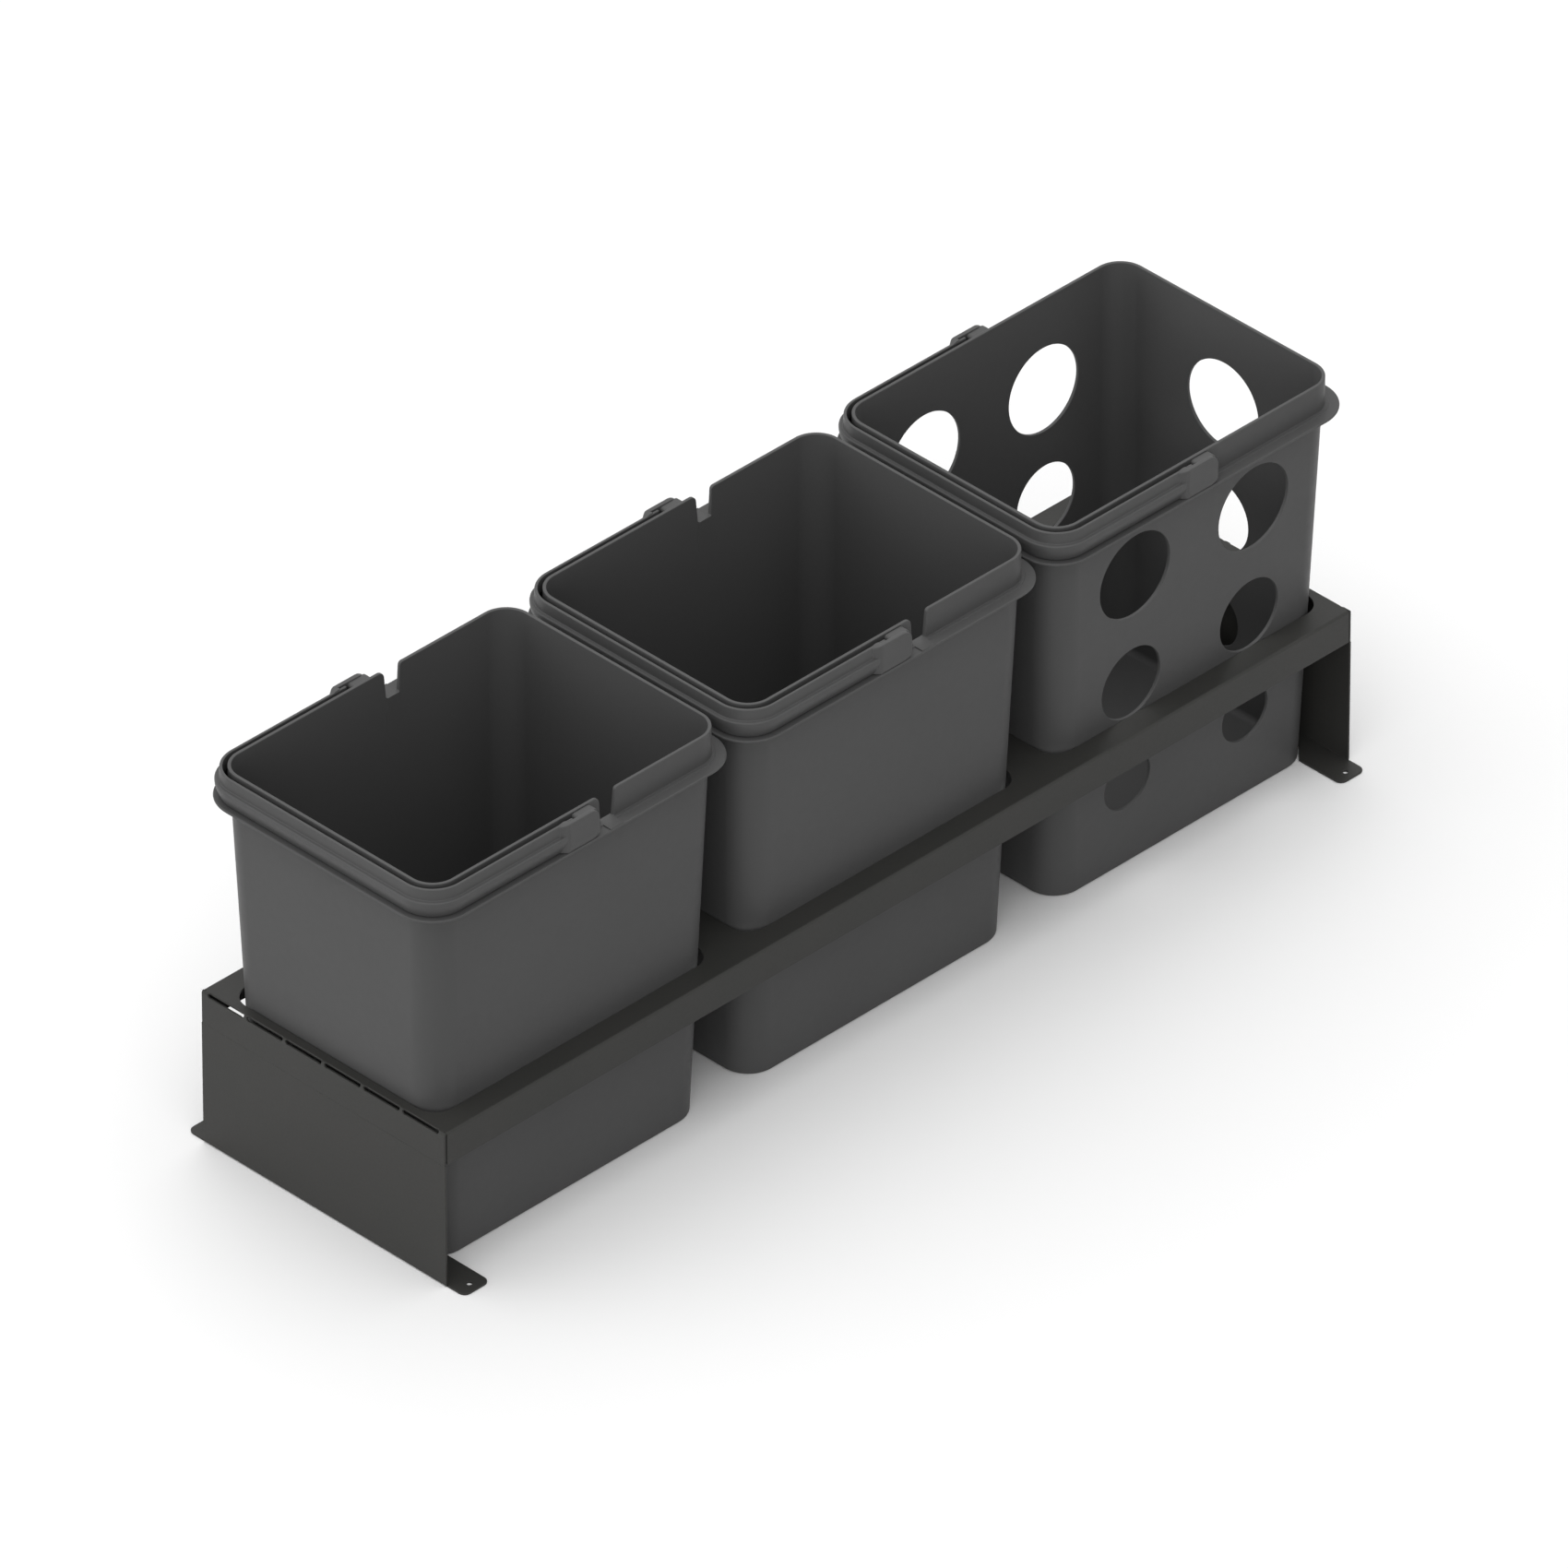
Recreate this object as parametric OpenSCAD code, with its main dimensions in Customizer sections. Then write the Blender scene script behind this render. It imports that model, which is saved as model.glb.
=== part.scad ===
// Waste sorting bin: three drafted tubs in a row, held upright by one folded sheet frame.
// Each tub has a bail handle that lies round its raised collar.
// The origin is on the ground, in the middle of the frame. +X runs along the row, +Z is up.

/* [Frame] */
// Distance from the end of the row of tubs, at the ground, to the outer face of an end plate
end_gap = 13.4; // [12:0.1:60]
// Width of the top plate beside the openings for the tubs
side_strip = 18.4; // [10:0.1:60]
// Height of the top plate above the ground
frame_height = 125; // [60:1:250]
// Thickness of the sheet
sheet = 1.5; // [1:0.1:2]
// Outer radius of the folds
fold_radius = 2; // [2:0.1:4]
// Height of the turned-down front and back lips
lip_height = 25.9; // [10:0.1:50]
// Open seam between a lip and the end plate at each corner
corner_seam = 0.7; // [0.3:0.1:1.5]
// Gap between each opening and its tub, where the tub passes the plate
opening_gap = 0.8; // [0.4:0.1:3]
// How much smaller the corner radius of the openings is than that of the tubs
opening_sharpness = 5; // [0:0.5:8]

/* [Perforated folds] */
// Number of slots in the fold above each end plate
slot_count = 6; // [2:1:10]
// Width of the bridges left between two slots
slot_bridge = 4.8; // [3:0.1:10]
// Distance from the side of the frame to the first slot
slot_margin = 7.3; // [6:0.1:20]
// Reach of the slots onto the top plate
slot_inward = 1.9; // [1.9:0.1:4]
// Reach of the slots down the end plate
slot_down = 3.4; // [2:0.1:6]
// Diameter of the relief hole at each end of a slot
slot_end_d = 4.4; // [3:0.1:5]

/* [Feet] */
// Gap between the foot flange under each end plate and the nearest tub
foot_gap = 0.8; // [0.4:0.1:6]
// Depth of the foot flange at the screw ears
ear_depth = 25; // [23:0.5:40]
// Distance from the end plate's outer face to the free edge of an ear
ear_inset = 1; // [0.5:0.1:2]
// Reach of the ears beyond the side of the frame
ear_reach = 16.4; // [14:0.1:30]
// Corner radius of the ears
ear_corner = 5.3; // [2:0.1:6]
// Diameter of the screw holes
screw_hole_d = 4; // [3:0.1:6]
// Distance of the screw holes from the side of the frame
screw_reach = 8.7; // [6:0.1:10]

/* [Tubs] */
// Length of a tub at the ground
tub_length = 249.8; // [200:0.1:320]
// Width of a tub at the ground
tub_width = 185.7; // [150:0.1:260]
// Corner radius of the walls
tub_corner = 21; // [14:0.5:30]
// Lean of the walls
draft = 1.86; // [0.5:0.01:2.5]
// Thickness of the walls
wall = 2.5; // [1.5:0.1:3]
// Thickness of the floor
floor_thickness = 2.5; // [1.5:0.1:5]
// Height of the top of the rim flange above the ground
rim_height = 290.6; // [260:0.1:340]
// Thickness of the rim flange
rim_thickness = 2; // [1.5:0.1:4]
// Reach of the rim flange beyond the collar
rim_reach = 9.9; // [9.3:0.1:14]
// Gap between the rim flanges of two neighbouring tubs
rim_gap = 1.9; // [1:0.1:20]
// Width of the raised step at the root of the rim flange
step_width = 2.5; // [1:0.1:3]
// Height of that step
step_height = 0.8; // [0.3:0.1:1.5]
// Reach of the collar beyond the walls, where they meet the rim flange
collar_step = 0.7; // [0.2:0.1:2]
// How much rounder the corners of the collar are than those of the walls
collar_rounding = 1.9; // [0:0.1:4]
// Height of the collar above the rim flange
collar_height = 22.9; // [22:0.1:30]

/* [Notches of the left and middle tubs] */
// Distance of the notches from the middle of a tub
notch_offset = 26; // [24:0.5:60]
// Width of the notches at their foot
notch_width = 12; // [8:0.5:20]
// Extra width on each side at the mouth of the notches
notch_flare = 1.5; // [0.5:0.1:3]
// Radius of the notch's mouth on the side of the pivot
notch_round = 5; // [3:0.5:6]
// Thickness of the guide pads inside the notches
pad_thickness = 2; // [1:0.1:4]
// Width of the pads beside the foot of the notches
pad_margin = 1.2; // [0.8:0.1:3]
// Length of the pads below the rim flange
pad_length = 40; // [10:1:100]

/* [Holes of the right tub] */
// Diameters of the holes, from the lowest row up
hole_d = [44, 56, 67];
// Depths of the rows below the rim flange
hole_depth = [221.6, 138.6, 49.1];
// Distance of the two columns in a long wall from the middle of the tub
hole_column = 57; // [40:1:80]

/* [Handles] */
// Distance of the pivots from the middle of a tub
pivot_offset = 2.7; // [0:0.1:4]
// Depth of the pivots below the top of the collar
pivot_depth = 9.1; // [9:0.1:9.5]
// Diameter of the pivot pins
pin_d = 6; // [4:0.1:8]
// Radial clearance between a pin and its bore
pin_clearance = 0.06; // [0.02:0.01:0.1]
// Radius of the round bosses that hold the pins
boss_radius = 8; // [6:0.1:8.5]
// Gap between the handle and the collar
handle_gap = 3.3; // [2:0.1:5]
// Thickness of the upper band of the handle
band_thickness = 2.6; // [1.5:0.1:3]
// Distance of the lower skirt's outer face from the collar
skirt_reach = 8.8; // [8:0.1:9.5]
// Depth of the band's top edge below the top of the collar
band_drop = 0.8; // [0:0.1:2]
// Depth of the ledge between band and skirt below the top of the collar
ledge_depth = 9.4; // [6:0.1:14]
// Depth of the skirt's lower edge below the top of the collar
skirt_depth = 20.5; // [16:0.1:21]
// Length of the lug plates towards the bail, from the pivot
lug_length = 19.7; // [15:0.1:30]
// Length of the lug plates beyond the pivot
lug_end = 8; // [6.5:0.1:9]
// Length of the thick start of the lug plates
lug_root = 7; // [3:0.1:9]

/* [Hidden] */
$fn = 96;

steel_colour = [0.28, 0.28, 0.27];
tub_colour = [0.31, 0.31, 0.31];
handle_colour = [0.34, 0.34, 0.34];

// Room for a cut to run past the face that it opens
past = 1;
// How far a leaning round corner would stand proud of its walls
hair = 0.02;
// Gap between flat faces of a handle and a tub
face_gap = 0.3;
// Gap between a lug and the rim flange as the lug turns over it
turn_gap = 0.4;

slope = tan(draft);
collar_length = tub_length + 2 * slope * rim_height + 2 * collar_step;
collar_width = tub_width + 2 * slope * rim_height + 2 * collar_step;
collar_corner = tub_corner + collar_rounding;
collar_top = rim_height + collar_height;
tub_pitch = collar_length + 2 * rim_reach + rim_gap;
tub_places = [-tub_pitch, 0, tub_pitch];
row_end = tub_pitch + tub_length / 2;

// Size of a tub where it passes the top plate
neck_length = tub_length + 2 * slope * frame_height;
neck_width = tub_width + 2 * slope * frame_height;
frame_length = 2 * (row_end + end_gap);
frame_width = neck_width + 2 * opening_gap + 2 * side_strip;
opening_radius = tub_corner - opening_sharpness;
foot_depth = end_gap - foot_gap;
slot_length = (frame_width - 2 * slot_margin - (slot_count - 1) * slot_bridge) / slot_count;
screw_inset = (ear_inset + ear_depth) / 2;
pivot_height = collar_top - pivot_depth;
lug_radius = pivot_height - rim_height - turn_gap;

// A rectangle with round corners
module rounded(length, width, radius) {
    square([length - 2 * radius, width], center = true);
    square([length, width - 2 * radius], center = true);
    for (x = [-1, 1], y = [-1, 1])
        translate([x * (length / 2 - radius), y * (width / 2 - radius)])
            circle(radius);
}

// A band of even width round a rounded rectangle, from one distance to another
module rounded_ring(length, width, radius, inside, outside) {
    difference() {
        rounded(length + 2 * outside, width + 2 * outside, radius + outside);
        rounded(length + 2 * inside, width + 2 * inside, radius + inside);
    }
}

// A section in X and Z, drawn out along Y
module along_y(length) {
    rotate([90, 0, 0])
        linear_extrude(length, center = true)
            children();
}

// A section in Y and Z, drawn out along X
module along_x(length) {
    rotate([90, 0, 90])
        linear_extrude(length, center = true)
            children();
}

// The side view of a drafted block, wider at its top
module leaning_section(size, height) {
    growth = slope * height;
    polygon([[-size / 2, 0], [size / 2, 0],
             [size / 2 + growth, height], [-size / 2 - growth, height]]);
}

// What a round corner of a drafted block leaves off its sharp corner.
// The corner is a cylinder that leans outward with both of its walls and stands a hair proud
// of them, so that it cuts them in clean lines.
module corner_waste(length, width, radius, height) {
    stretch = sqrt(1 + slope * slope);
    half_angle = acos(slope * slope / (stretch * stretch)) / 2;
    lean = atan(slope * sqrt(2));
    reach = 1.5 * radius;
    inset = (radius - hair) * stretch;
    translate([length / 2 - inset, width / 2 - inset, 0])
        rotate(a = lean, v = [-1, 1, 0])
            linear_extrude(3 * height, center = true)
                difference() {
                    polygon([
                        [0, 0],
                        reach * [cos(45 - half_angle), sin(45 - half_angle)],
                        reach / cos(half_angle) * [cos(45), sin(45)],
                        reach * [cos(45 + half_angle), sin(45 + half_angle)]
                    ]);
                    circle(radius);
                }
}

// A block whose walls lean outward, with upright-looking corners of even radius
module drafted_block(length, width, radius, height) {
    growth = 2 * slope * height;
    difference() {
        intersection() {
            along_y(width + growth + past) leaning_section(length, height);
            along_x(length + growth + past) leaning_section(width, height);
        }
        for (x = [0, 1], y = [0, 1])
            mirror([x, 0, 0]) mirror([0, y, 0])
                corner_waste(length, width, radius, height);
    }
}

// Frame

// Outline of a folded section: a shell of the sheet's thickness, open below
module folded_section(width, height) {
    difference() {
        translate([0, -frame_height / 2])
            rounded(width, frame_height, fold_radius);
        translate([0, -frame_height / 2 - sheet])
            rounded(width - 2 * sheet, frame_height, fold_radius - sheet + 0.01);
        translate([-width, -2 * frame_height])
            square([2 * width, 2 * frame_height - height]);
    }
}

// End plates, top plate and the bottom folds, in one bent strip
module end_strip() {
    along_y(frame_width)
        difference() {
            translate([0, frame_height / 2])
                rounded(frame_length, frame_height, fold_radius);
            translate([0, frame_height / 2])
                rounded(frame_length - 2 * sheet, frame_height - 2 * sheet, 0.5);
            translate([-frame_length / 2 + foot_depth, -past])
                square([frame_length - 2 * foot_depth, sheet + 2 * past]);
        }
}

// Front and back lips, with the folds that join them to the top plate
module lips() {
    translate([0, 0, frame_height])
        along_x(frame_length - 2 * fold_radius)
            folded_section(frame_width, lip_height);
}

// The foot flange under the right end plate, with a deeper stretch and a screw ear at each end
module foot() {
    corner_reach = sqrt(2) * (tub_corner + foot_gap) - 2 * tub_corner;
    ear_start = tub_width / 2 + ear_depth - end_gap + corner_reach;
    slant = ear_depth - foot_depth;
    translate([frame_length / 2, 0, 0])
        linear_extrude(sheet)
            difference() {
                translate([-(ear_depth + ear_inset) / 2, 0])
                    rounded(ear_depth - ear_inset, frame_width + 2 * ear_reach, ear_corner);
                polygon([[-ear_depth - past, -ear_start - past], [-foot_depth, -ear_start + slant],
                         [-foot_depth, ear_start - slant], [-ear_depth - past, ear_start + past]]);
                for (y = [-1, 1])
                    translate([-screw_inset, y * (frame_width / 2 + screw_reach)])
                        circle(d = screw_hole_d);
                translate([-fold_radius, -frame_width / 2])
                    square([fold_radius + past, frame_width]);
            }
}

// One slot of the perforated fold, over the right end plate
module fold_slot() {
    translate([frame_length / 2, 0, frame_height]) {
        translate([-slot_inward, -slot_length / 2, -slot_down])
            cube([slot_inward + past, slot_length, slot_down + past]);
        for (y = [-1, 1])
            translate([-slot_inward / 2, y * (slot_length / 2 - slot_end_d / 4), -slot_down / 2])
                rotate([0, 45, 0])
                    cylinder(h = 4 * slot_end_d, d = slot_end_d, center = true);
    }
}

// Cut that opens the seam beside a lip, at the front of the right end plate
module seam_cut() {
    translate([frame_length / 2 - fold_radius, -frame_width / 2 - past,
               frame_height - lip_height - corner_seam])
        cube([fold_radius + past, corner_seam + past, lip_height + corner_seam + past]);
}

module frame() {
    color(steel_colour)
        difference() {
            union() {
                end_strip();
                lips();
                for (x = [0, 1])
                    mirror([x, 0, 0]) foot();
            }
            for (place = tub_places)
                translate([place, 0, frame_height - 2 * sheet])
                    linear_extrude(4 * sheet)
                        rounded(neck_length + 2 * opening_gap, neck_width + 2 * opening_gap,
                                opening_radius);
            for (x = [0, 1], y = [0, 1])
                mirror([x, 0, 0]) mirror([0, y, 0]) seam_cut();
            for (x = [0, 1], i = [0 : slot_count - 1])
                mirror([x, 0, 0])
                    translate([0, (i - (slot_count - 1) / 2) * (slot_length + slot_bridge), 0])
                        fold_slot();
        }
}

// Tubs

// Walls and floor, with the collar, the rim flange and the flange's raised step
module tub_shell() {
    drafted_block(tub_length, tub_width, tub_corner, rim_height - rim_thickness / 2);
    translate([0, 0, rim_height - rim_thickness])
        linear_extrude(rim_thickness)
            rounded(collar_length + 2 * rim_reach, collar_width + 2 * rim_reach,
                    collar_corner + rim_reach);
    translate([0, 0, rim_height - rim_thickness / 2])
        linear_extrude(rim_thickness / 2 + step_height)
            rounded(collar_length + 2 * step_width, collar_width + 2 * step_width,
                    collar_corner + step_width);
    translate([0, 0, rim_height])
        linear_extrude(collar_height)
            rounded(collar_length, collar_width, collar_corner);
}

// The space inside a tub
module tub_hollow() {
    translate([0, 0, floor_thickness])
        drafted_block(tub_length - 2 * wall + 2 * slope * floor_thickness,
                      tub_width - 2 * wall + 2 * slope * floor_thickness,
                      tub_corner - wall,
                      collar_top - floor_thickness + past);
}

// The two pivot pins that stand out of the collar
module pivot_pins() {
    reach = collar_width / 2 + handle_gap + band_thickness - face_gap;
    translate([pivot_offset, 0, pivot_height])
        for (y = [-1, 1])
            translate([0, y * (collar_width / 2 - wall / 2 + reach) / 2, 0])
                rotate([90, 0, 0])
                    cylinder(h = reach - collar_width / 2 + wall / 2, d = pin_d, center = true);
}

// Side view of a notch, with its foot on the rim flange
module notch_section() {
    mouth = notch_width / 2 + notch_flare;
    translate([notch_offset, rim_height + step_height]) {
        polygon([[-notch_width / 2, 0], [notch_width / 2, 0],
                 [mouth, collar_height], [-mouth, collar_height]]);
        translate([-mouth, collar_height - step_height - notch_round])
            rotate([0, 0, 90])
                difference() {
                    square([notch_round + past, notch_round]);
                    translate([0, notch_round])
                        circle(notch_round);
                }
    }
}

// Guide pads on the inner faces of both long walls, behind the notches
module guide_pads() {
    width = notch_width + 2 * (notch_flare + pad_margin);
    intersection() {
        translate([notch_offset - width / 2, -collar_width / 2, rim_height - pad_length])
            cube([width, collar_width, pad_length + collar_height]);
        difference() {
            drafted_block(tub_length, tub_width, tub_corner, collar_top);
            translate([0, 0, -past])
                drafted_block(tub_length - 2 * (wall + pad_thickness),
                              tub_width - 2 * (wall + pad_thickness),
                              tub_corner - wall - pad_thickness,
                              collar_top + 2 * past);
        }
    }
}

// A closed tub with the two notches in its collar
module notched_tub() {
    color(tub_colour) {
        difference() {
            union() {
                difference() {
                    tub_shell();
                    tub_hollow();
                }
                guide_pads();
            }
            along_y(collar_width + 2 * past) notch_section();
        }
        pivot_pins();
    }
}

// A tub with rows of round holes and a whole collar
module perforated_tub() {
    color(tub_colour) {
        difference() {
            tub_shell();
            tub_hollow();
            for (row = [0 : len(hole_d) - 1])
                translate([0, 0, rim_height - hole_depth[row]]) {
                    for (x = [-1, 1])
                        translate([x * hole_column, 0, 0])
                            rotate([90, 0, 0])
                                cylinder(h = 2 * tub_width, d = hole_d[row], center = true);
                    rotate([0, 90, 0])
                        cylinder(h = 2 * tub_length, d = hole_d[row], center = true);
                }
        }
        pivot_pins();
    }
}

// Handles

// One layer of the bail: a band round the left half of the collar
module bail_layer(inside, outside, low, high, end) {
    translate([0, 0, low])
        linear_extrude(high - low)
            intersection() {
                rounded_ring(collar_length, collar_width, collar_corner, inside, outside);
                translate([end - 2 * collar_length, -collar_width])
                    square([2 * collar_length, 2 * collar_width]);
            }
}

// Side view of a lug plate, with the pivot at its origin
module lug_section() {
    translate([-lug_length, -lug_radius])
        square([lug_length, lug_radius + pivot_depth]);
    intersection() {
        circle(lug_radius);
        translate([0, -lug_radius])
            square([lug_end, lug_radius + pivot_depth - lug_end]);
    }
    translate([0, pivot_depth - lug_end])
        intersection() {
            circle(lug_end);
            square(lug_end);
        }
}

// Lug plate, its boss and the blind bore for the pin, on the back side
module lug() {
    face = collar_width / 2;
    inner = face + handle_gap + band_thickness;
    translate([pivot_offset, 0, pivot_height])
        difference() {
            union() {
                translate([0, (inner + face + skirt_reach) / 2, 0])
                    along_y(face + skirt_reach - inner) lug_section();
                translate([0, (face + face_gap + inner + past / 2) / 2, 0])
                    rotate([90, 0, 0])
                        cylinder(h = inner + past / 2 - face - face_gap, r = boss_radius,
                                 center = true);
            }
            translate([0, face, 0])
                rotate([90, 0, 0])
                    cylinder(h = 2 * (handle_gap + band_thickness + face_gap / 2),
                             r = pin_d / 2 + pin_clearance, center = true);
        }
}

module handle() {
    band_outside = handle_gap + band_thickness;
    lug_start = pivot_offset - lug_length;
    color(handle_colour) {
        bail_layer(handle_gap, band_outside, collar_top - ledge_depth - band_thickness,
                   collar_top - band_drop, lug_start + lug_root);
        bail_layer(handle_gap, skirt_reach, collar_top - ledge_depth - band_thickness,
                   collar_top - ledge_depth, lug_start + lug_root);
        bail_layer(skirt_reach - band_thickness, skirt_reach, collar_top - skirt_depth,
                   collar_top - ledge_depth, lug_start + lug_root);
        for (y = [0, 1])
            mirror([0, y, 0]) lug();
    }
}

frame();
translate([tub_places[0], 0, 0]) notched_tub();  // tub_left
translate([tub_places[1], 0, 0]) notched_tub();  // tub_middle
translate([tub_places[2], 0, 0]) perforated_tub();  // tub_right
translate([tub_places[0], 0, 0]) handle();  // handle_left
translate([tub_places[1], 0, 0]) handle();  // handle_middle
translate([tub_places[2], 0, 0]) handle();  // handle_right
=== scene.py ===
"""Looks of the waste sorting bin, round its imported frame. Lengths are millimetres until a mesh is made."""

import math

import bmesh
import bpy
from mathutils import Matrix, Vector
from mathutils.geometry import delaunay_2d_cdt


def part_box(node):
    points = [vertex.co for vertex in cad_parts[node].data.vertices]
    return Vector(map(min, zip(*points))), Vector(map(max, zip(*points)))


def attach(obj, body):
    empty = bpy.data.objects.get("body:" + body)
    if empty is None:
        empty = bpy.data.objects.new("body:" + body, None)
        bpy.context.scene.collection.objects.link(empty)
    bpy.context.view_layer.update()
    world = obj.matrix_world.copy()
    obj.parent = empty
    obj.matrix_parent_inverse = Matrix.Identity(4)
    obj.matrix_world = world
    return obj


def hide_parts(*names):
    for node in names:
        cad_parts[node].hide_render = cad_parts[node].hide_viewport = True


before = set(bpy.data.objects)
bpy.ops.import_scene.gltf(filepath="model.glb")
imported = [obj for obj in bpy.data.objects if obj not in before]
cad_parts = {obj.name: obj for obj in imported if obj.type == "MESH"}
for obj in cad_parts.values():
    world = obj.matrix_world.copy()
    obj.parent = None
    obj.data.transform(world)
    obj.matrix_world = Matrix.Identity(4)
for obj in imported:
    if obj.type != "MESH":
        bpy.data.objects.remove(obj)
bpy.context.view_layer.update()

MM = 0.001
SIDES = ("left", "middle", "right")

# Tub walls, rim flange and collar
DRAFT = math.tan(math.radians(1.86))
WALL = 2.5
FLOOR = 2.5
CORNER = 22.5
LEAST_CORNER = 1.0
COLLAR_HEIGHT = 22.9
COLLAR_STEP = 0.7
COLLAR_CORNER = 20.3
RIM_REACH = 9.9
RIM_THICKNESS = 2.0
STEP_WIDTH = 2.5
STEP_HEIGHT = 0.8
BOTTOM_ROUND = 1.8
BOTTOM_INSET = 7.2
FLOOR_ROUND = 5.0
FLOOR_INSET = 15.0
RIM_ROUND = 0.85
UNDER_ROUND = 1.0
STEP_ROUND = 0.35
TOP_ROUND = 0.55

# Notches in the collar, the low shelves in front of them and the guide pads behind them
NOTCH_OFFSET = 26.0
NOTCH_WIDTH = 12.0
NOTCH_FLARE = 1.5
NOTCH_LEFT_ROUND = 5.0
NOTCH_RIGHT_ROUND = 2.6
NOTCH_FOOT_ROUND = 1.2
NOTCH_SINK = 0.1
NOTCH_TOOL_HALF = 22.5
NOTCH_TOOL_RISE = 5.0
SHELF_INSET = 0.5
PAD_THICKNESS = 1.0
PAD_LENGTH = 24.0
PAD_DROP = 0.3

# Holes of the right tub: diameter and depth below the rim of each row, and the angles round their soft rims
HOLE_ROWS = ((44.0, 221.6), (56.0, 138.6), (67.0, 49.1))
HOLE_COLUMN = 57.0
HOLE_ROUND = 0.45
HOLE_ROUND_ANGLES = (20, 45, 70, 90)

# Handles: reaches and gaps run outward from the collar, and depths run down from its top. A lug plate runs
# from LUG_LENGTH left of its pivot to LUG_END right of it, and the bail runs on LUG_ROOT behind the plate
PIVOT_OFFSET = 2.7
PIVOT_DEPTH = 9.1
PIN_RADIUS = 3.0
BORE_RADIUS = 3.06
PIN_REACH = 5.6
BORE_REACH = 6.05
BOSS_LEFT = 10.0
BOSS_RIGHT = 7.5
BOSS_HALF = 8.0
BOSS_ROUND = 2.5
BOSS_GAP = 0.3
HANDLE_GAP = 3.3
BAND_THICKNESS = 2.6
BAND_TOP_THICKNESS = 2.1
BAND_DROP = 0.8
BAND_ROUND = 0.8
BAND_INNER_ROUND = 0.6
LEDGE_DEPTH = 9.4
LEDGE_ROUND = 1.2
SKIRT_REACH = 8.8
SKIRT_THICKNESS = 2.0
SKIRT_ROOT_ROUND = 0.3
SKIRT_BEND_DEPTH = 12.3
SKIRT_DEPTH = 22.2
SKIRT_CURL = 3.3
SKIRT_POWER = 1.35
LUG_LENGTH = 19.7
LUG_END = 8.0
LUG_ROOT = 7.0
LUG_RADIUS = 13.6
LUG_REACH = 9.3
BLEND_LENGTH = 10.0
BLEND_LIFT = 1.5
HANDLE_ROUND = 0.7

# Sheet frame. SEAM is the gap between an end plate and a lip, SEAM_HALF is half the width of the cut between
# their folds, and RELIEF is how far that cut runs into the top plate
SHEET = 1.5
SHEET_ROUND = 0.2
SHEET_CORNER = 0.8
SIDE_STRIP = 18.4
FOLD_RADIUS = 2.0
LIP_HEIGHT = 25.9
SEAM = 0.45
SEAM_HALF = 0.2
SEAM_ROUND = 0.1
RELIEF = 1.1
OPENING_RADIUS = 16.0
OPENING_GAP = 0.8
SLOT_COUNT = 6
SLOT_BRIDGE = 4.8
SLOT_MARGIN = 7.3
SLOT_START = 0.4
SLOT_RUN = 3.8
SLOT_DOT = 2.2
SLOT_DOT_INSET = 1.1
EAR_INSET = 1.0
EAR_DEPTH = 25.0
EAR_CORNER = 5.3
EAR_ROOT_ROUND = 0.2
SCREW_HOLE = 4.0
SCREW_REACH = 8.7
FOOT_GAP = 0.8

# How far tools stick out of what they cut, how far joined parts reach into each other, and the hair's
# breadth that keeps two faces out of one plane
CUTTER_MARGIN = 1.0
JOIN_DEPTH = 1.0
HAIR = 0.02

# Facets of round shapes and steps along curved ones
CORNER_STEPS = 20
ROUND_STEPS = 4
NOTCH_STEPS = 6
PIN_STEPS = 48
HOLE_STEPS = 96
SKIRT_STEPS = 10
LUG_STEPS = 8
LUG_ARC_STEPS = 6
BLEND_STEPS = 10
BLEND_EDGE_STEPS = 3
FOLD_STEPS = 6
OPENING_STEPS = 14
DOT_STEPS = 12
SCREW_STEPS = 32

# Angles in degrees from which an edge is rounded or shaded sharp, and up to which faces are merged
ROUNDED_ANGLE = 40
SHEET_ROUNDED_ANGLE = 60
SHARP_ANGLE = 50
MERGED_ANGLE = 0.05
SHEET_MERGED_ANGLE = 0.5

# Distances that count as none, and how far past a line an edge has to lie to be rounded
NEAR = 0.01
BLANK_NEAR = 0.001
PICK_MARGIN = 0.5
LUG_PICK_MARGIN = 0.1

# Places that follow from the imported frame
_, tub_high = (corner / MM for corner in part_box("tub_middle"))
_, frame_high = (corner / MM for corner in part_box("frame"))
TUB_PLACES = {side: sum(corner.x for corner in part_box("tub_" + side)) / 2 / MM for side in SIDES}
TOP = tub_high.z
RIM = TOP - COLLAR_HEIGHT
PIVOT_Z = TOP - PIVOT_DEPTH
LUG_LEFT = PIVOT_OFFSET - LUG_LENGTH
COLLAR_X = tub_high.x - RIM_REACH
COLLAR_Y = tub_high.y - RIM_REACH


def wall_reach(z):
    """How far the outer face of a wall lies outside the collar's face, at a height."""
    return -COLLAR_STEP - DRAFT * (RIM - z)


def tub_wall_x(z):
    """Half length of a tub at a height."""
    return COLLAR_X + wall_reach(z)


def tub_wall_y(z):
    """Half width of a tub at a height."""
    return COLLAR_Y + wall_reach(z)


# Half width of the frame, gap between the end tubs and the frame's ends, and places in the flat blank:
# where the top plate's folds start, how long a fold and an end plate are, and where the feet start
FRAME_Y = tub_wall_y(frame_high.z) + OPENING_GAP + SIDE_STRIP
END_GAP = frame_high.x - TUB_PLACES["right"] - tub_wall_x(0)
FLAT_X = frame_high.x - FOLD_RADIUS
FLAT_Y = FRAME_Y - FOLD_RADIUS
FOLD_RUN = FOLD_RADIUS * math.pi / 2
END_PLATE = frame_high.z - 2 * FOLD_RADIUS
FOOT_X = FLAT_X + 2 * FOLD_RUN + END_PLATE


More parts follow.
